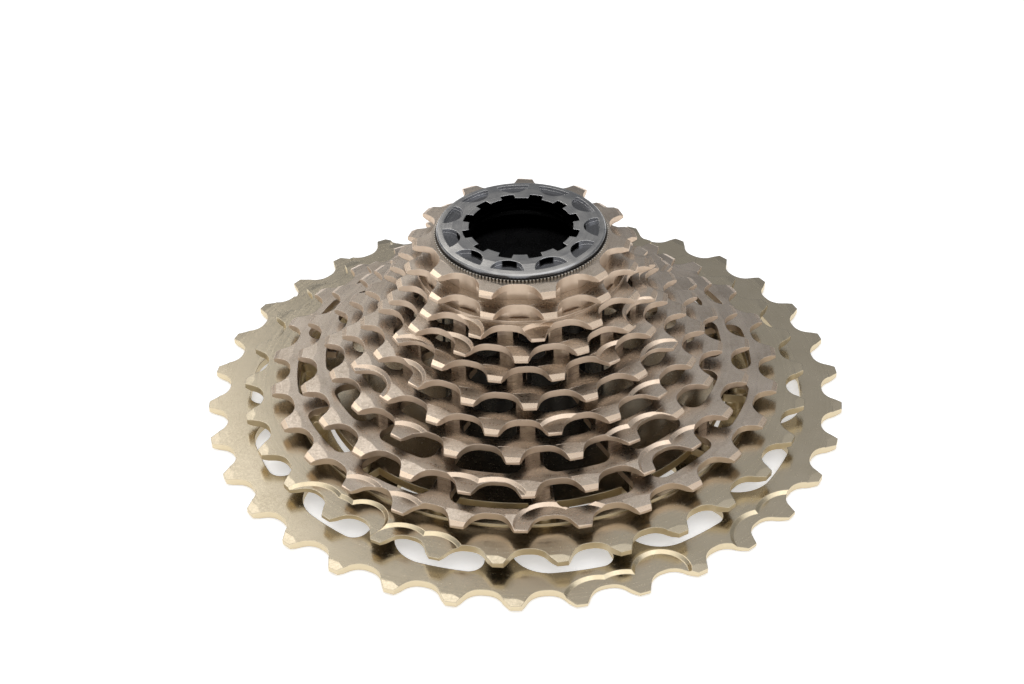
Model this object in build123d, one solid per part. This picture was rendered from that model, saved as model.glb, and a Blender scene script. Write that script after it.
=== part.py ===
from build123d import *
import math
import os

# Twelve-speed bicycle cassette, standing on its largest sprocket with the small end up.
# Millimetres and degrees. Z is the cassette axis, z = 0 is the back face of the 34T sprocket.
# Angles are measured from the front (-Y) towards +X.

# ------------------------------------------------------------------ chain and sprocket stack
chain_pitch = 12.7              # half-inch chain
roller_diameter = 7.77          # roller that beds in each gullet
gullet_wrap = 62.0              # how far the gullet follows the roller, each side of its bottom
gullet_flat = 1.15              # steel gullets are longer than their roller by this much
tooth_tip_rise = 0.25           # tooth tips above the pitch circle
tooth_tip_width = 2.7           # flat on a steel tooth tip
alloy_gullet_flat = 0.8         # the same two on the aluminium sprockets
alloy_tip_width = 2.2
tooth_lean = 0.7                # tip's sideways offset from the middle of its root
plate = 1.6                     # thickness of each sprocket
spacing = 3.65                  # face-to-face pitch of the stack
tooth_counts = (11, 12, 13, 14, 15, 17, 19, 21, 24, 27, 30, 34)
tooth_phases = (-19.6, -17.5, -21.8, -27.2, -35.6, -19.9, -29.5, -21.1, -30.1, -15.1, -18.0, -2.5)

# bevels on the outboard face of every tooth: (length from the tip, depth at the tip, sideways share of
# the slope), and a light chamfer on the inboard face
steel_bevels = ((4.1, 0.3, 0.25), (1.5, 0.68, 0.1))
alloy_bevels = ((2.0, 0.15, 0.5),)
back_chamfer = 0.3              # axial depth of the inboard chamfer at the tips
back_chamfer_length = 1.2       # radial length of the inboard chamfer

# shift ramps: shallow milled steps with sloping walls on the outboard face, in two sets half a turn apart
ramp_depth = 0.6
ramp_wall_slope = 1.2           # sideways run of a ramp's wall for each millimetre of depth
ramps = {                       # teeth: (angle, distance of the cut inside the root circle, mill radius)
    13: ((-30.0, 0.9, 6.0), (8.0, 0.7, 6.5)),
    14: ((-33.0, 0.8, 6.5), (62.0, 0.8, 6.5)),
    15: ((-50.0, 0.9, 6.5), (40.0, 0.9, 6.5)),
    17: ((-48.0, 1.1, 7.0), (57.0, 1.0, 7.0)),
    19: ((12.0, 0.8, 8.0), (43.0, 1.2, 8.0), (-58.0, 0.9, 7.5)),
    21: ((29.0, 0.9, 7.5), (37.0, 1.3, 7.0), (-36.0, 0.8, 7.5)),
    24: ((36.0, 2.0, 7.5), (45.0, 1.6, 7.5), (-17.0, 0.8, 8.0), (-8.0, 0.8, 8.0)),
    27: ((4.0, 3.4, 7.5), (11.5, 2.6, 7.0), (-39.0, 0.9, 8.0), (-29.0, 0.9, 8.0)),
    30: ((-46.5, 2.9, 7.5), (-42.0, 2.9, 7.5), (-36.0, 5.1, 5.8), (-25.5, 2.8, 7.0), (-19.0, 2.6, 7.0)),
    34: ((11.0, 2.8, 7.5), (15.5, 2.9, 7.5), (23.2, 5.7, 6.0), (43.5, 3.2, 8.0), (50.0, 3.0, 8.0)),
}

# ------------------------------------------------------------------ posts and windows
post_count = 14                 # posts in each gap of the open steel rings
post_width = 3.1
post_depth = 2.7                # radial depth behind the gullet bottoms
post_proud = 0.5                # how far a post under a tooth stands outside the root circle
post_inset = 0.15               # step back from the gullet above
post_phases = {13: -9.7, 14: -8.2, 15: -4.5, 17: -0.8, 19: 0.3, 21: 1.5, 24: 3.6}
arm_width = 4.4                 # plate left between two windows, where a post stands
lug_margin = 0.7                # plate left inside the posts
window_corner = 2.6             # rounded outer corners of the windows
corner_share = 0.38             # most that a corner may take of its window's width
window_rim = {14: 1.3, 15: 2.3, 17: 2.0, 19: 2.0, 21: 2.0, 24: 2.0, 27: 1.6}
neck_proud = 0.4                # solid necks under 11T and 12T, outside the root circle
shoulder_width = 1.05           # low shoulder on the 13T plate, round the neck above it
shoulder_height = 0.6

# ------------------------------------------------------------------ aluminium 30T and 34T
inner_window_inset = 1.0        # 30T windows, from inside the gullets of the 24T
inner_window_rim = 1.8          # to this far inside the gullets of the 27T
inner_arm_width = 5.6
step_inset = 0.5                # low machined step on the 30T, this far inside the gullets of the 27T
step_height = 0.4
outer_window_inset = 0.2        # 34T windows, from inside the gullets of the 27T
outer_window_rim = 4.7          # to this far inside the gullets of the 34T
outer_arm_width = 4.4
outer_window_phase = 18.8
outer_corner_lead = 8.0         # large corner at one end of each 34T window
outer_corner_trail = 3.0
spoke_count = 7                 # spokes of the 34T between its hub and its pin ring
spoke_width = 11.0
spoke_window_rise = 2.0         # spoke windows start this far outside the hub
spoke_window_inset = 0.8        # and end this far inside the gullets of the 24T
spoke_corner = 3.0
hub_wall = 1.5                  # hub of the 34T outside the core's flange, up to the back of the 30T

# pins that hold 27T, 30T and 34T together, swaged flush at the back
pin_radius = 1.3
pin_offset = 2.1                # pin circle outside the gullets of the 24T
pin_head_radius = 2.1
pin_head_depth = 0.6
pin_blind_depth = 0.9           # into the back of the 27T
pad_radius = 2.5                # raised pads round the pins

# ------------------------------------------------------------------ splined core
spline_count = 9
core_radius = 17.4              # over the splines
spline_depth = 1.0
spline_groove = 15.0            # width of a groove, degrees
spline_narrow = 9.0             # width of the indexing groove
spline_side_clearance = 0.4     # degrees, each side of a sprocket's tab
spline_clearance = 0.05         # radial, sprocket bore round the core
thread_wall = 1.05              # core left between its thread and its spline grooves
bore_step = 2.9                 # bore inside the thread
core_top_gap = 0.6              # core ends below the face of the 11T
core_flange_width = 3.6         # flange at the back of the core
core_flange = 0.8               # its thickness
foot_chamfer = 0.5

# ------------------------------------------------------------------ lockring and its washer
thread_clearance = 0.05         # radial, round the M30.6 thread, which is drawn plain
thread_length = 7.4             # below the flange
thread_relief = 0.9             # core's threaded mouth is this much deeper
flange = 1.4                    # thickness of the lockring's flange
flange_overhang = 0.25          # flange outside the core
flange_slope_width = 3.35       # sloping band round its flat top
flange_slope_drop = 0.35
flange_edge_chamfer = 0.3
tool_land_depth = 4.4           # lands of the tool socket, inside the thread
tool_root_depth = 3.0           # bottoms of the notches, inside the thread
tool_notches = 12
tool_notch_width = 2.9
tool_notch_depth = 2.2
tool_notch_phase = 13.1
tool_lip = 1.0                  # lip left under the notches
tube_wall = 2.1
pocket_count = 11
pocket_phase = -11.2
pocket_inset = 1.15             # pocket centres inside the flange's rim
pocket_radius = 3.5
pocket_rim = 1.35               # rim left outside the pockets
pocket_depth = 0.8
washer = 0.5
washer_overhang = 0.55          # washer outside the flange
washer_play = 0.35              # washer's hole round the thread
serrations = 150
serration_depth = 0.4
face_gap = 0.01                 # between the parts that turn or lift and what they rest on

# ------------------------------------------------------------------ derived places
roller_radius = roller_diameter / 2
gap = spacing - plate
sprocket_count = len(tooth_counts)
stack_top = (sprocket_count - 1) * spacing + plate
washer_bottom = stack_top + face_gap
flange_bottom = washer_bottom + washer + face_gap
flange_top = flange_bottom + flange
tube_bottom = flange_bottom - thread_length
core_top = stack_top - core_top_gap
core_thread_bottom = tube_bottom - thread_relief
bore_radius = core_radius + spline_clearance
thread_radius = core_radius - spline_depth - thread_wall - thread_clearance
core_bore_radius = thread_radius - bore_step
core_flange_radius = core_radius + core_flange_width
hub_radius = core_flange_radius + hub_wall
flange_radius = core_radius + flange_overhang
washer_radius = flange_radius + washer_overhang
washer_in_radius = thread_radius + washer_play
tool_radius = thread_radius - tool_land_depth
tool_root_radius = thread_radius - tool_root_depth
phases = dict(zip(tooth_counts, tooth_phases))
alloy_counts = tooth_counts[-2:]


def pitch_radius(teeth):
    return chain_pitch / 2 / math.sin(math.pi / teeth)


def root_radius(teeth):
    return pitch_radius(teeth) - roller_radius


def tip_radius(teeth):
    return pitch_radius(teeth) + tooth_tip_rise


def plate_bottom(teeth):
    return (sprocket_count - 1 - tooth_counts.index(teeth)) * spacing


def at(radius, angle, height=0.0):
    """Point at a radius and an angle from the front, towards +X."""
    turn = math.radians(angle - 90)
    return Vector(radius * math.cos(turn), radius * math.sin(turn), height)


def turned(shape, angle):
    return Rot(0, 0, angle) * shape


def tube(outer, inner, bottom, top):
    """Ring of rectangular section between two heights."""
    ring = Circle(outer) - Circle(inner)
    return Pos(0, 0, bottom) * extrude(ring, top - bottom)


# ------------------------------------------------------------------ sprocket blanks
def tooth_outline(teeth, inset=0.0):
    """Closed face of a roller-chain sprocket with long gullets and teeth that lean one way."""
    def seat_point(centre, turn):
        """Point of the gullet at an angle from its bottom, round a roller at that centre."""
        return centre + (centre.normalized() * -(roller_radius + inset)).rotate(Axis.Z, turn)

    pitch_r = pitch_radius(teeth)
    tip_r = tip_radius(teeth)
    flat, tip_width = gullet_flat, tooth_tip_width
    if teeth in alloy_counts:
        flat, tip_width = alloy_gullet_flat, alloy_tip_width
    tooth_turn = 360 / teeth
    lean = math.degrees(tooth_lean / tip_r)
    half_tip = math.degrees(tip_width / 2 / tip_r)
    flat_turn = math.degrees(flat / root_radius(teeth))
    edges = []
    for i in range(teeth):
        tip = phases[teeth] + i * tooth_turn
        near = at(pitch_r, tip - lean + tooth_turn / 2)
        far = at(pitch_r, tip - lean + tooth_turn / 2 + flat_turn)
        next_tip = tip + tooth_turn
        edges.append(Line(at(tip_r, tip + half_tip), seat_point(near, gullet_wrap)))
        edges.append(ThreePointArc(seat_point(near, gullet_wrap), seat_point(near, gullet_wrap / 2),
                                   seat_point(near, 0)))
        edges.append(Line(seat_point(near, 0), seat_point(far, 0)))
        edges.append(ThreePointArc(seat_point(far, 0), seat_point(far, -gullet_wrap / 2),
                                   seat_point(far, -gullet_wrap)))
        edges.append(Line(seat_point(far, -gullet_wrap), at(tip_r, next_tip - half_tip)))
        edges.append(ThreePointArc(at(tip_r, next_tip - half_tip), at(tip_r, next_tip),
                                   at(tip_r, next_tip + half_tip)))
    return make_face(edges)


def tooth_bevels(teeth):
    """Tilted cutters for the outboard face of each tooth."""
    cutters = []
    for length, drop, skew in alloy_bevels if teeth in alloy_counts else steel_bevels:
        size = 2 * length
        slope = drop / length
        tilted = Plane(origin=(tip_radius(teeth) - length, 0, plate), x_dir=(1, 0, -slope),
                       z_dir=(slope, -slope * skew, 1))
        cutter = tilted * Pos(size / 2, 0, plate / 2) * Box(size, chain_pitch / 2, plate)
        cutters += [turned(cutter, phases[teeth] - 90 + i * 360 / teeth) for i in range(teeth)]
    return cutters


def back_bevel(teeth):
    """Cone that takes the inboard corners off the tooth tips."""
    tip_r = tip_radius(teeth)
    section = make_face(Polyline((tip_r - back_chamfer_length, 0), (tip_r + 1, 0),
                                 (tip_r + 1, back_chamfer * (1 + 1 / back_chamfer_length)), close=True))
    return revolve(Plane.XZ * section, Axis.Z)


def ramp_cutters(teeth):
    """Tapered mill passes of the shift ramps, repeated half a turn on."""
    half_turn = (teeth // 2) * 360 / teeth
    cutters = []
    for angle, reach, mill in ramps.get(teeth, ()):
        for turn in (0, half_turn):
            centre = at(root_radius(teeth) - reach + mill, angle + turn, plate)
            floor_radius = mill - ramp_depth * ramp_wall_slope
            cutters.append(Pos(*centre) * Pos(0, 0, -ramp_depth / 2)
                           * Cone(floor_radius, mill, ramp_depth))
    return cutters


def toothed_plate(teeth):
    """Finished teeth on a full disc whose back face is at z = 0."""
    blank = extrude(tooth_outline(teeth), plate)
    return blank - (tooth_bevels(teeth) + [back_bevel(teeth)] + ramp_cutters(teeth))


# ------------------------------------------------------------------ splines
def groove_width(index):
    return spline_narrow if index == 0 else spline_groove


def sector(inner, outer, centre, width):
    """Ring sector face."""
    low = centre - width / 2
    high = centre + width / 2
    return make_face([
        Line(at(inner, low), at(outer, low)),
        ThreePointArc(at(outer, low), at(outer, centre), at(outer, high)),
        Line(at(outer, high), at(inner, high)),
        ThreePointArc(at(inner, high), at(inner, centre), at(inner, low)),
    ])


def spline_bore(height):
    """Cutter for a sprocket's bore, leaving tabs that fill the core's grooves."""
    face = Circle(bore_radius)
    for i in range(spline_count):
        width = groove_width(i) - 2 * spline_side_clearance
        face -= sector(bore_radius - spline_depth, bore_radius + 1, i * 360 / spline_count, width)
    return extrude(face, height)


# ------------------------------------------------------------------ windows and posts
def window(inner, outer, arm, count, lead, trail):
    """One window between two parallel-sided arms, centred on the front, with rounded outer corners."""
    def edge_angle(radius):
        return 180 / count - math.degrees(math.asin(arm / 2 / radius))

    low_out = at(outer, -edge_angle(outer))
    high_out = at(outer, edge_angle(outer))
    low_in = at(inner, -edge_angle(inner))
    high_in = at(inner, edge_angle(inner))
    face = make_face([
        Line(low_in, low_out),
        ThreePointArc(low_out, at(outer, 0), high_out),
        Line(high_out, high_in),
        ThreePointArc(high_in, at(inner, 0), low_in),
    ])
    largest = corner_share * (high_out - low_out).length
    for corner, radius in ((low_out, lead), (high_out, trail)):
        face = fillet(face.vertices().sort_by_distance(corner)[:1], min(radius, largest))
    return face


def window_cutters(face, count, arm_phase, height):
    cutter = extrude(face, height)
    return [turned(cutter, arm_phase + (i + 0.5) * 360 / count) for i in range(count)]


def ring_windows(teeth, smaller):
    """Windows that leave one lug under each post of the next smaller sprocket."""
    inner = ring_bore(smaller) - 2
    outer = root_radius(teeth) - window_rim[teeth]
    face = window(inner, outer, arm_width, post_count, window_corner, window_corner)
    return window_cutters(face, post_count, post_phases[smaller], plate)


def ring_bore(smaller):
    """Inner radius of the ring that carries the posts of a smaller sprocket."""
    return root_radius(smaller) - post_depth - lug_margin


def posts(teeth):
    """Posts from the back of a sprocket down to the next plate, following the gullets just inside them."""
    inner = root_radius(teeth) - post_depth
    outer = root_radius(teeth) + post_proud
    bar = Pos(0, -(inner + outer) / 2, gap / 2) * Box(post_width, outer - inner, gap)
    bars = [turned(bar, post_phases[teeth] + i * 360 / post_count) for i in range(post_count)]
    blank = extrude(tooth_outline(teeth, post_inset), gap)
    solids = [solid for one in bars for solid in (one & blank).solids()]
    return Pos(0, 0, plate_bottom(teeth) - gap) * Compound(children=solids)


# ------------------------------------------------------------------ steel sprockets
def necked_sprocket(teeth):
    """11T or 12T: a solid splined disc with a neck that follows the gullets down to the next plate."""
    neck_face = tooth_outline(teeth) & Circle(root_radius(teeth) + neck_proud)
    neck = Pos(0, 0, -gap) * extrude(neck_face, gap)
    body = toothed_plate(teeth) + neck
    body -= Pos(0, 0, -gap) * spline_bore(gap + plate)
    return Pos(0, 0, plate_bottom(teeth)) * body


def shouldered_sprocket(teeth):
    """13T: a solid splined disc with a low shoulder round the neck above it."""
    smaller = tooth_counts[tooth_counts.index(teeth) - 1]
    neck_radius = root_radius(smaller) + neck_proud
    body = toothed_plate(teeth) + tube(neck_radius + shoulder_width, bore_radius - spline_depth,
                                       plate / 2, plate + shoulder_height)
    body -= Pos(0, 0, plate) * extrude(Circle(neck_radius), gap)
    body -= spline_bore(plate)
    return Pos(0, 0, plate_bottom(teeth)) * body


def open_sprocket(teeth):
    """14T to 27T: a toothed ring with windows and lugs."""
    smaller = tooth_counts[tooth_counts.index(teeth) - 1]
    cutters = ring_windows(teeth, smaller) + [extrude(Circle(ring_bore(smaller)), plate)]
    body = toothed_plate(teeth) - cutters
    if teeth == 27:
        body -= pin_array(extrude(Circle(pin_radius), pin_blind_depth))
    return Pos(0, 0, plate_bottom(teeth)) * body


# ------------------------------------------------------------------ aluminium sprockets
def pin_array(shape):
    """Copies of a shape on the pin circle, one under each arm of the 27T."""
    return [Pos(*at(root_radius(24) + pin_offset, post_phases[24] + i * 360 / post_count)) * shape
            for i in range(post_count)]


def sprocket_30t():
    body = toothed_plate(30)
    body += tube(root_radius(27) - step_inset, bore_radius - spline_depth, plate / 2, plate + step_height)
    face = window(root_radius(24) - inner_window_inset, root_radius(27) - inner_window_rim,
                  inner_arm_width, post_count, window_corner / 2, window_corner / 2)
    body -= window_cutters(face, post_count, post_phases[24], plate + step_height)
    body += pin_array(Pos(0, 0, plate / 2) * extrude(Circle(pad_radius), spacing - plate / 2))
    body -= pin_array(extrude(Circle(pin_radius), spacing))
    body -= spline_bore(spacing)
    return Pos(0, 0, plate_bottom(30)) * body


def sprocket_34t():
    body = toothed_plate(34)
    body += tube(hub_radius, bore_radius - spline_depth, plate / 2, spacing)
    body += pin_array(Pos(0, 0, plate / 2) * extrude(Circle(pad_radius), spacing - plate / 2))
    outer = window(root_radius(27) - outer_window_inset, root_radius(34) - outer_window_rim,
                   outer_arm_width, post_count, outer_corner_lead, outer_corner_trail)
    spoke = window(hub_radius + spoke_window_rise, root_radius(24) - spoke_window_inset,
                   spoke_width, spoke_count, spoke_corner, spoke_corner)
    body -= window_cutters(outer, post_count, outer_window_phase, spacing)
    body -= window_cutters(spoke, spoke_count, post_phases[24], spacing)
    body -= pin_array(extrude(Circle(pin_radius), spacing))
    body -= pin_array(extrude(Circle(pin_head_radius), pin_head_depth))
    body -= extrude(Circle(core_flange_radius + spline_clearance), core_flange)
    body -= spline_bore(spacing)
    return body


def carrier_pins():
    top = plate_bottom(27) + pin_blind_depth
    shank = extrude(Circle(pin_radius), top)
    head = extrude(Circle(pin_head_radius), pin_head_depth)
    return Compound(children=pin_array(shank + head))


# ------------------------------------------------------------------ core, lockring and washer
def splined_core():
    """Sleeve with the spline grooves outside and a threaded mouth at the top."""
    section = Circle(core_radius)
    for i in range(spline_count):
        section -= sector(core_radius - spline_depth, core_radius + 1, i * 360 / spline_count,
                          groove_width(i))
    body = Pos(0, 0, core_flange) * extrude(section, core_top - core_flange)
    body += extrude(Circle(core_flange_radius), core_flange)
    body -= extrude(Circle(core_bore_radius), core_top)
    body -= Pos(0, 0, core_thread_bottom) * extrude(Circle(thread_radius + thread_clearance), core_top)
    foot = body.faces().sort_by(Axis.Z)[0].edges().sort_by(SortBy.LENGTH)[0]
    return chamfer(foot, foot_chamfer)


def lockring():
    top = flange_top
    slope_top = top - flange_slope_drop
    tube_in = thread_radius - tube_wall
    lip_bottom = top - tool_notch_depth - tool_lip
    section = make_face(Polyline(
        (tool_radius, lip_bottom), (tube_in, lip_bottom - (tube_in - tool_radius)),
        (tube_in, tube_bottom), (thread_radius, tube_bottom), (thread_radius, flange_bottom),
        (flange_radius, flange_bottom), (flange_radius, slope_top - flange_edge_chamfer),
        (flange_radius - flange_edge_chamfer, slope_top), (flange_radius - flange_slope_width, top),
        (tool_radius, top), close=True))
    body = revolve(Plane.XZ * section, Axis.Z)
    notch = Pos(0, -tool_root_radius / 2, top - tool_notch_depth / 2)
    notch = notch * Box(tool_notch_width, tool_root_radius, tool_notch_depth)
    root = tube(tool_root_radius, 1, tube_bottom, top)
    body -= [turned(notch, tool_notch_phase + i * 360 / tool_notches) & root
             for i in range(tool_notches)]
    pocket_face = (Pos(0, pocket_inset - flange_radius) * Circle(pocket_radius))
    pocket_face &= Circle(flange_radius - pocket_rim)
    pocket = Pos(0, 0, top - flange_slope_drop / 2 - pocket_depth) * extrude(pocket_face, flange)
    body -= [turned(pocket, pocket_phase + i * 360 / pocket_count) for i in range(pocket_count)]
    return body


def lock_washer():
    """Thin ring with a serrated rim."""
    rim = []
    for i in range(serrations):
        rim.append(at(washer_radius, i * 360 / serrations))
        rim.append(at(washer_radius - serration_depth, (i + 0.5) * 360 / serrations))
    face = make_face(Polyline(*rim, close=True)) - Circle(washer_in_radius)
    return Pos(0, 0, washer_bottom) * extrude(face, washer)


# ------------------------------------------------------------------ nodes
def build_nodes():
    nodes = {}
    for teeth in (11, 12):
        nodes[f"sprocket_{teeth}t"] = necked_sprocket(teeth)
    nodes["sprocket_13t"] = shouldered_sprocket(13)
    for teeth in window_rim:
        nodes[f"sprocket_{teeth}t"] = open_sprocket(teeth)
    nodes["sprocket_30t"] = sprocket_30t()
    nodes["sprocket_34t"] = sprocket_34t()
    for teeth in post_phases:
        nodes[f"posts_{teeth}t"] = posts(teeth)
    nodes["carrier_pins"] = carrier_pins()
    nodes["splined_core"] = splined_core()
    nodes["lock_washer"] = lock_washer()
    nodes["lockring"] = lockring()
    return nodes


os.makedirs("parts", exist_ok=True)
for name, shape in build_nodes().items():
    export_step(shape, f"parts/{name}.step")
    print(name, len(shape.solids()), round(shape.volume, 1))
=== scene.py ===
import math

import bpy
from mathutils import Matrix, Vector

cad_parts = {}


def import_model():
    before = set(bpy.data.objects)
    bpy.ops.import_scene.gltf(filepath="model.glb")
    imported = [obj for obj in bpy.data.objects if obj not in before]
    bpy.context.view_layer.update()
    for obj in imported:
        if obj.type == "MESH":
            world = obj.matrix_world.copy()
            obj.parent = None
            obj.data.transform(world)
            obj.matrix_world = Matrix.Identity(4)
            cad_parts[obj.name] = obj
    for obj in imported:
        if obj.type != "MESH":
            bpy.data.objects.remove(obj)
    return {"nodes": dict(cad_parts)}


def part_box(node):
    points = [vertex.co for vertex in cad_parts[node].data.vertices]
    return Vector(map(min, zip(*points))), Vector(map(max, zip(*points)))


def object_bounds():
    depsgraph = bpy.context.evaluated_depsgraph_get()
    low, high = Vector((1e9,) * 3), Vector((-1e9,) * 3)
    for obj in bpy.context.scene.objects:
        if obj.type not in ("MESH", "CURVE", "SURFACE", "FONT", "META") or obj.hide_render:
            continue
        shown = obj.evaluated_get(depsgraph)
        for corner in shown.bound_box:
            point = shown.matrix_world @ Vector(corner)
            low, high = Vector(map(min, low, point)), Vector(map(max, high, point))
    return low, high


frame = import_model()
cad_low, cad_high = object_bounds()
MM = 0.001

# finish of the metal
EDGE_BREAK = 0.18 * MM   # every machined edge is broken by this radius
MARK_DEPTH = 0.05 * MM   # deepest tool mark
WALL_ROUGHER = 0.15      # added to the roughness of upright walls
WALL = (0.35, 0.6)       # flatness of a wall, which runs out towards that of a face
BEVEL = (0.96, 0.99)     # the same for a bevel or ramp, so a face tilted by 8 degrees or less is flat

# the lockring, in millimetres
POCKET_RIM = 1.35        # rim left outside its pockets
POCKET_FLOOR = 0.85      # the pockets' floors are all deeper than this below its flat top
POCKET_ROOM = 1.3        # and none is deeper than this
BORE_ROOT = 13.4         # just outside the bore of its tube, so it takes in the pockets' inner ends
FADE = 0.1               # distance over which one colour gives way to the next

# the washer's rim, in millimetres inside its outermost radius: painted shade in the serration roots
SERRATION_TIPS = 0.12    # bright down to here
SERRATION_ROOTS = 0.33   # dark from here inwards

# patterns, in cells or lines per millimetre
SPECKLES = 2.2           # blasting grit, drawn coarser than its ten to a millimetre, to show at all
PATCHES = 0.16           # slow drift in the tone of a plated or anodised face
LATHE_RINGS = 1.2        # lathe marks, also drawn coarser than their ten to a millimetre
PIN_RINGS = 2.0
LOCKRING_RINGS = 1.6
CUTTER_LINES = 4.0       # feed of the mill that cut the posts

NOISE = (0.3, 0.7)       # a noise stays mostly between these

# sockets of a colour mix: its two colours, and the blend that comes out
FIRST, SECOND, BLEND = 6, 7, 2


# ------------------------------------------------------------------ helpers
def linear(code):
    """sRGB hex to a linear colour with alpha."""
    parts = [int(code[i:i + 2], 16) / 255 for i in (1, 3, 5)]
    return [c / 12.92 if c <= 0.04045 else ((c + 0.055) / 1.055) ** 2.4 for c in parts] + [1.0]


def add(tree, kind, links=None, **settings):
    """Adds a shader node with its settings. An input takes a value, a socket, or a node's first output."""
    made = tree.nodes.new(kind)
    for name, value in settings.items():
        setattr(made, name, value)
    for socket, source in (links or {}).items():
        if isinstance(source, bpy.types.Node):
            source = source.outputs[0]
        if isinstance(source, bpy.types.NodeSocket):
            tree.links.new(source, made.inputs[socket])
        else:
            made.inputs[socket].default_value = source
    return made


def span(value, low, high, bottom=0.0, top=1.0):
    """Inputs that map a value from low..high onto bottom..top."""
    return {"Value": value, "From Min": low, "From Max": high, "To Min": bottom, "To Max": top}


def new_material(name):
    """Empty material, its node tree, and the place on the object in millimetres."""
    material = bpy.data.materials.new(name)
    material.use_nodes = True
    tree = material.node_tree
    tree.nodes.clear()
    inside = add(tree, "ShaderNodeTexCoord").outputs["Object"]
    place = add(tree, "ShaderNodeVectorMath", {0: inside, "Scale": 1 / MM}, operation="SCALE")
    return material, tree, place


def distance_from_axis(tree, place):
    flat = add(tree, "ShaderNodeVectorMath", {0: place, 1: (1, 1, 0)}, operation="MULTIPLY")
    return add(tree, "ShaderNodeVectorMath", {0: flat}, operation="LENGTH").outputs["Value"]


def flatness_of(tree):
    """1 on faces square to the axis, 0 on upright walls."""
    facing = add(tree, "ShaderNodeNewGeometry").outputs["True Normal"]
    rise = add(tree, "ShaderNodeSeparateXYZ", {0: facing}).outputs["Z"]
    return add(tree, "ShaderNodeMath", {0: rise}, operation="ABSOLUTE")


def worked_surface(tree, marks, strength):
    """Normal with every edge broken, as by a deburring wheel, and tool marks on top."""
    edges = add(tree, "ShaderNodeBevel", {"Radius": EDGE_BREAK}, samples=6)
    links = {"Height": marks, "Strength": strength, "Distance": MARK_DEPTH, "Normal": edges}
    return add(tree, "ShaderNodeBump", links)


def finish_with(tree, links):
    """The shader that carries a finish, and the material's output."""
    shader = add(tree, "ShaderNodeBsdfPrincipled", links)
    add(tree, "ShaderNodeOutputMaterial", {"Surface": shader})


# ------------------------------------------------------------------ materials
def turned_metal(name, light, dark, wall, roughness, anisotropy, rings_per_mm, grain, relief):
    """Metal turned on a lathe, then blasted lightly: fine rings round the axis and a soft speckle.
    Its walls and bevels take a lighter colour of their own, painted light for the bright floor they
    reflect, and the upright ones are rougher."""
    material, tree, place = new_material(name)
    radius = distance_from_axis(tree, place)
    rings = add(tree, "ShaderNodeTexNoise", {"W": radius, "Scale": rings_per_mm, "Detail": 3.0},
                noise_dimensions="1D")
    speckle = add(tree, "ShaderNodeTexNoise", {"Vector": place, "Scale": SPECKLES, "Detail": 2.0})
    clouds = add(tree, "ShaderNodeTexNoise", {"Vector": place, "Scale": PATCHES, "Detail": 3.0})
    mottle = add(tree, "ShaderNodeMath", {0: clouds, 1: speckle}, operation="MULTIPLY")
    flatness = flatness_of(tree)
    upright = add(tree, "ShaderNodeMapRange", span(flatness, *WALL, 1.0, 0.0))
    painted_light_on_walls = add(tree, "ShaderNodeMapRange", span(flatness, *BEVEL, 1.0, 0.0))

    drift = add(tree, "ShaderNodeMapRange", span(mottle, 0.12, 0.42))
    face = add(tree, "ShaderNodeMix", {"Factor": drift, FIRST: light, SECOND: dark}, data_type="RGBA")
    # walls and bevels take the wall colour: painted light for the bright floor they reflect
    links = {"Factor": painted_light_on_walls, FIRST: face.outputs[BLEND], SECOND: wall}
    colour = add(tree, "ShaderNodeMix", links, data_type="RGBA").outputs[BLEND]

    blasted = add(tree, "ShaderNodeMapRange", span(speckle, *NOISE, roughness - 0.05, roughness + 0.05))
    turned = add(tree, "ShaderNodeMapRange", span(rings, *NOISE, -0.025, 0.025))
    rough = add(tree, "ShaderNodeMath", {0: blasted, 1: turned}, operation="ADD")
    rough = add(tree, "ShaderNodeMath", {0: upright, 1: WALL_ROUGHER, 2: rough}, operation="MULTIPLY_ADD")

    marks = add(tree, "ShaderNodeMath", {0: speckle, 1: grain, 2: rings}, operation="MULTIPLY_ADD")
    round_the_axis = add(tree, "ShaderNodeTangent", direction_type="RADIAL", axis="Z")
    finish_with(tree, {
        "Base Color": colour, "Metallic": 1.0, "Roughness": rough, "Anisotropic": anisotropy,
        "Normal": worked_surface(tree, marks, relief), "Tangent": round_the_axis})
    return material


def plated_steel():
    """Nickel-plated hardened steel, turned and satin blasted: a warm brownish silver that sparkles."""
    # the third colour, for walls and bevels, is painted light
    return turned_metal(
        "nickel_plated_steel", linear("#c6bbaf"), linear("#a79b8e"), linear("#dcc8b3"),
        roughness=0.3, anisotropy=0.5, rings_per_mm=LATHE_RINGS, grain=2.5, relief=0.03)


def champagne_aluminium():
    """Aluminium, turned and champagne anodised: pale gold, smoother, with broad soft reflections."""
    # the third colour, for walls and bevels, is painted light
    return turned_metal(
        "champagne_anodised_aluminium", linear("#c5bba7"), linear("#bab09b"), linear("#dccdae"),
        roughness=0.22, anisotropy=0.55, rings_per_mm=LATHE_RINGS, grain=0.8, relief=0.008)


def swaged_pins():
    """Stainless steel pins with swaged ends: a neutral, brighter silver."""
    # the third colour, for walls and bevels, is painted light
    return turned_metal(
        "stainless_pin_steel", linear("#cfccc6"), linear("#b4afa6"), linear("#c4c0b8"),
        roughness=0.3, anisotropy=0.2, rings_per_mm=PIN_RINGS, grain=0.6, relief=0.02)


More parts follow.
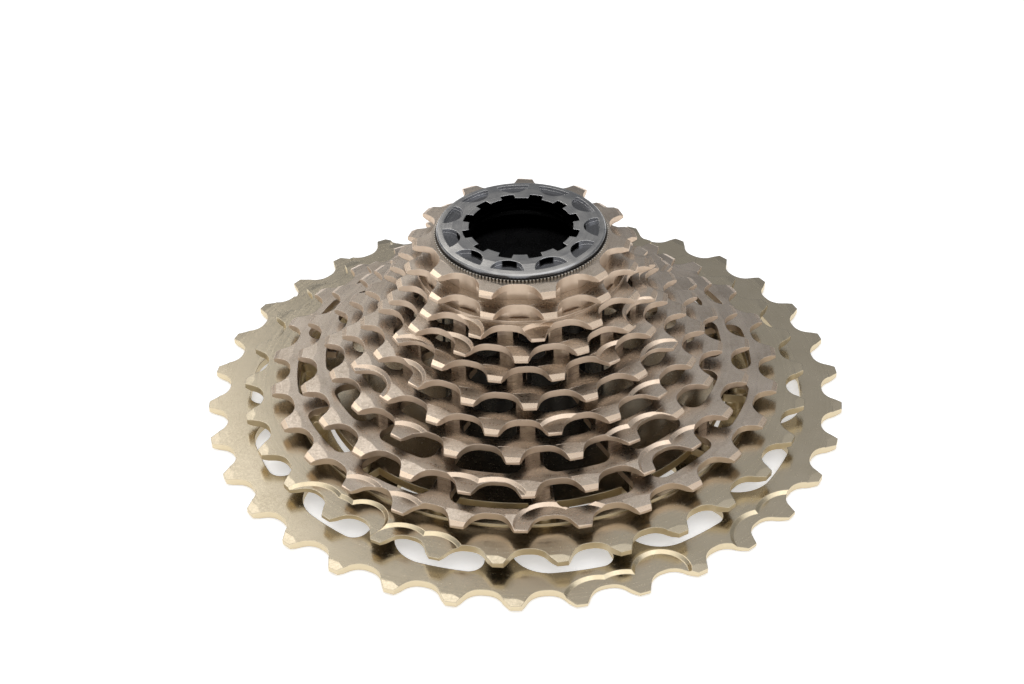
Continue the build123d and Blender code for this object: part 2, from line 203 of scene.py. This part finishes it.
def lockring_metal():
    """Grey anodised aluminium, turned: a flat satin grey face, pockets with painted shade on their floors
    and a painted highlight on their milled walls, and the bore coloured near black."""
    material, tree, place = new_material("grey_anodised_aluminium")
    radius = distance_from_axis(tree, place)
    height = add(tree, "ShaderNodeSeparateXYZ", {0: place}).outputs["Z"]
    rings = add(tree, "ShaderNodeTexNoise", {"W": radius, "Scale": LOCKRING_RINGS, "Detail": 2.0},
                noise_dimensions="1D")
    clouds = add(tree, "ShaderNodeTexNoise", {"Vector": place, "Scale": 0.3, "Detail": 2.0})
    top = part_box("lockring")[1].z / MM
    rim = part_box("lockring")[1].x / MM - POCKET_RIM

    drift = add(tree, "ShaderNodeMapRange", span(clouds, 0.35, 0.7))
    links = {"Factor": drift, FIRST: linear("#b8b7b5"), SECOND: linear("#9c9c9d")}
    satin = add(tree, "ShaderNodeMix", links, data_type="RGBA")

    # the pocket floors get a darker grey: painted shade in the recess
    floors = top - POCKET_FLOOR
    above_floors = add(tree, "ShaderNodeMapRange", span(height, floors, floors + 0.25))
    links = {"Factor": above_floors, FIRST: linear("#6b6c6f"), SECOND: satin.outputs[BLEND]}
    with_floor_shade = add(tree, "ShaderNodeMix", links, data_type="RGBA")

    # the pocket walls are coloured near white: a painted highlight
    upright = add(tree, "ShaderNodeMapRange", span(flatness_of(tree), 0.4, 0.6, 1.0, 0.0))
    inside_rim = add(tree, "ShaderNodeMapRange", span(radius, rim + FADE, rim + 2 * FADE, 1.0, 0.0))
    lowest = top - POCKET_ROOM
    in_pockets = add(tree, "ShaderNodeMapRange", span(height, lowest, lowest + FADE))
    walls = add(tree, "ShaderNodeMath", {0: upright, 1: inside_rim}, operation="MULTIPLY")
    walls = add(tree, "ShaderNodeMath", {0: walls, 1: in_pockets}, operation="MULTIPLY")
    links = {"Factor": walls, FIRST: with_floor_shade.outputs[BLEND], SECOND: linear("#f0f0f1")}
    with_pocket_highlight = add(tree, "ShaderNodeMix", links, data_type="RGBA")

    # below its flat top and inside BORE_ROOT the ring is coloured near black
    face = add(tree, "ShaderNodeMapRange", span(height, top - 2 * FADE, top - FADE))
    outside = add(tree, "ShaderNodeMapRange", span(radius, BORE_ROOT, BORE_ROOT + FADE))
    grey_part = add(tree, "ShaderNodeMath", {0: face, 1: outside}, operation="MAXIMUM")
    links = {"Factor": grey_part, FIRST: linear("#060607"), SECOND: with_pocket_highlight.outputs[BLEND]}
    colour = add(tree, "ShaderNodeMix", links, data_type="RGBA").outputs[BLEND]

    rough = add(tree, "ShaderNodeMapRange", span(rings, *NOISE, 0.2, 0.28))
    round_the_axis = add(tree, "ShaderNodeTangent", direction_type="RADIAL", axis="Z")
    finish_with(tree, {
        "Base Color": colour, "Metallic": 1.0, "Roughness": rough, "Anisotropic": 0.5,
        "Normal": worked_surface(tree, rings, 0.015), "Tangent": round_the_axis})
    return material


def moulded_core():
    """Moulded black nylon: a deep gloss, faintly uneven where it shrank in the mould."""
    material, tree, place = new_material("moulded_black_nylon")
    clouds = add(tree, "ShaderNodeTexNoise", {"Vector": place, "Scale": 0.4, "Detail": 3.0})
    links = {"Factor": clouds, FIRST: linear("#151516"), SECOND: linear("#222223")}
    colour = add(tree, "ShaderNodeMix", links, data_type="RGBA").outputs[BLEND]
    rough = add(tree, "ShaderNodeMapRange", span(clouds, *NOISE, 0.22, 0.34))
    finish_with(tree, {"Base Color": colour, "Metallic": 0.0, "IOR": 1.53, "Roughness": rough})
    return material


def milled_posts_in_painted_shade():
    """Nickel-plated steel, milled across, with the cutter's lines: darker than the sprockets, as painted
    shade for the posts' place recessed between the plates.
    """
    material, tree, place = new_material("milled_nickel_plated_steel")
    height = add(tree, "ShaderNodeSeparateXYZ", {0: place}).outputs["Z"]
    lines = add(tree, "ShaderNodeTexNoise", {"W": height, "Scale": CUTTER_LINES, "Detail": 2.0},
                noise_dimensions="1D")
    clouds = add(tree, "ShaderNodeTexNoise", {"Vector": place, "Scale": 0.5, "Detail": 3.0})
    drift = add(tree, "ShaderNodeMapRange", span(clouds, 0.35, 0.68))
    # both tones sit below the sprockets' steel: painted shade for the recess between the plates
    links = {"Factor": drift, FIRST: linear("#b3a28e"), SECOND: linear("#87776a")}
    colour = add(tree, "ShaderNodeMix", links, data_type="RGBA").outputs[BLEND]
    rough = add(tree, "ShaderNodeMapRange", span(lines, *NOISE, 0.26, 0.4))
    finish_with(tree, {
        "Base Color": colour, "Metallic": 1.0, "Roughness": rough,
        "Normal": worked_surface(tree, lines, 0.35)})
    return material


def washer_metal():
    """Ground spring steel: bright tips to the serrations and painted shade between them."""
    material, tree, place = new_material("ground_spring_steel")
    clouds = add(tree, "ShaderNodeTexNoise", {"Vector": place, "Scale": 1.2, "Detail": 2.0})
    links = {"Factor": clouds, FIRST: linear("#e6e2da"), SECOND: linear("#cfc9be")}
    bright = add(tree, "ShaderNodeMix", links, data_type="RGBA").outputs[BLEND]
    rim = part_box("lock_washer")[1].x / MM
    radius = distance_from_axis(tree, place)
    # inwards of the serration tips the colour turns dark brown: painted shade in the roots
    tips = add(tree, "ShaderNodeMapRange", span(radius, rim - SERRATION_ROOTS, rim - SERRATION_TIPS))
    links = {"Factor": tips, FIRST: linear("#4a443e"), SECOND: bright}
    colour = add(tree, "ShaderNodeMix", links, data_type="RGBA").outputs[BLEND]
    rough = add(tree, "ShaderNodeMapRange", span(clouds, *NOISE, 0.18, 0.28))
    edges = add(tree, "ShaderNodeBevel", {"Radius": EDGE_BREAK}, samples=6)
    finish_with(tree, {"Base Color": colour, "Metallic": 1.0, "Roughness": rough, "Normal": edges})
    return material


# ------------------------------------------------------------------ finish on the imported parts
steel = plated_steel()
champagne = champagne_aluminium()
finishes = {  # node: (its slot in the record, its material)
    "lockring": ("grey_anodised_aluminium", lockring_metal()),
    "lock_washer": ("washer_steel", washer_metal()),
    "carrier_pins": ("pin_steel", swaged_pins()),
    "splined_core": ("black_core", moulded_core()),
    "sprocket_30t": ("champagne_anodised_aluminium", champagne),
    "sprocket_34t": ("champagne_anodised_aluminium", champagne),
}
shaded_posts_steel = milled_posts_in_painted_shade()
for name, node in frame["nodes"].items():
    plain = shaded_posts_steel if name.startswith("posts_") else steel
    slot, material = finishes.get(name, ("nickel_plated_steel", plain))
    node.data.materials.clear()
    node.data.materials.append(material)


# ------------------------------------------------------------------ floor, light and camera
def floor():
    """Plain pale floor just below the back face, lit a little from inside so that it stays white."""
    mesh = bpy.data.meshes.new("floor")
    half = 3.0
    z = cad_low.z - 0.2 * MM
    corners = [(-half, -half, z), (half, -half, z), (half, half, z), (-half, half, z)]
    mesh.from_pydata(corners, [], [(0, 1, 2, 3)])
    made = bpy.data.objects.new("floor", mesh)
    bpy.context.scene.collection.objects.link(made)
    material, tree, _ = new_material("white_paper")
    finish_with(tree, {
        "Base Color": linear("#f4f5f7"), "Roughness": 0.9,
        "Emission Color": linear("#ffffff"), "Emission Strength": 0.4})
    mesh.materials.append(material)


def softbox(name, place, size, power, colour):
    """Square lamp, of a size in metres and a power in watts, aimed at the part."""
    light = bpy.data.lights.new(name, "AREA")
    light.size = size
    light.energy = power
    light.color = colour[:3]
    made = bpy.data.objects.new(name, light)
    made.location = place
    made.rotation_euler = (-Vector(place)).to_track_quat("-Z", "Y").to_euler()
    bpy.context.scene.collection.objects.link(made)


def world():
    """Studio tent: grey walls, a bright top, lighter in front and on the left."""
    made = bpy.data.worlds.new("studio")
    bpy.context.scene.world = made
    made.use_nodes = True
    tree = made.node_tree
    tree.nodes.clear()
    around = add(tree, "ShaderNodeTexCoord").outputs["Generated"]
    ahead = add(tree, "ShaderNodeSeparateXYZ", {0: around})
    ramp = add(tree, "ShaderNodeValToRGB", {0: ahead.outputs["Z"]})
    stops = (  # height on the tent, from the horizon to straight above: colour
        (0.0, "#a0a2a6"), (0.3, "#8c8e91"), (0.55, "#9c9c9d"), (0.72, "#d0cfce"),
        (0.85, "#fcfaf8"), (0.95, "#f6f4f2"), (0.99, "#e4e3e2"))
    elements = ramp.color_ramp.elements
    while len(elements) < len(stops):
        elements.new(0.5)
    for element, (place, code) in zip(elements, stops):
        element.position = place
        element.color = linear(code)
    sides = add(tree, "ShaderNodeMapRange", span(ahead.outputs["X"], -0.6, 0.6, 1.12, 0.95))
    front = add(tree, "ShaderNodeMapRange", span(ahead.outputs["Y"], -0.9, 0.1, 1.8, 1.0))
    strength = add(tree, "ShaderNodeMath", {0: sides, 1: front}, operation="MULTIPLY")
    glow = add(tree, "ShaderNodeBackground", {"Color": ramp, "Strength": strength})
    add(tree, "ShaderNodeOutputWorld", {"Surface": glow})


def camera():
    """Looks down at 36 degrees from the front, with a slight roll."""
    elevation = math.radians(36.222)
    roll = math.radians(-1.458)
    distance = 427.93 * MM
    target = Vector((-2.486, 0, 13.8)) * MM
    ahead = Vector((0, math.cos(elevation), -math.sin(elevation)))
    right = Vector((1, 0, 0))
    up = right.cross(ahead)
    side = right * math.cos(roll) + up * math.sin(roll)
    top = up * math.cos(roll) - right * math.sin(roll)
    lens = bpy.data.cameras.new("camera")
    lens.lens = 69.56
    lens.sensor_width = 36
    lens.clip_start = 0.01
    made = bpy.data.objects.new("camera", lens)
    turn = Matrix((side, top, -ahead)).transposed().to_4x4()
    made.matrix_world = Matrix.Translation(target - ahead * distance) @ turn
    bpy.context.scene.collection.objects.link(made)
    bpy.context.scene.camera = made


floor()
world()
softbox("key", (-0.55, 0.75, 1.0), 0.9, 3.5, linear("#fffaf2"))
softbox("fill", (0.8, -0.5, 0.9), 0.9, 1.5, linear("#f4f7ff"))
camera()
bpy.context.scene.view_settings.view_transform = "Standard"
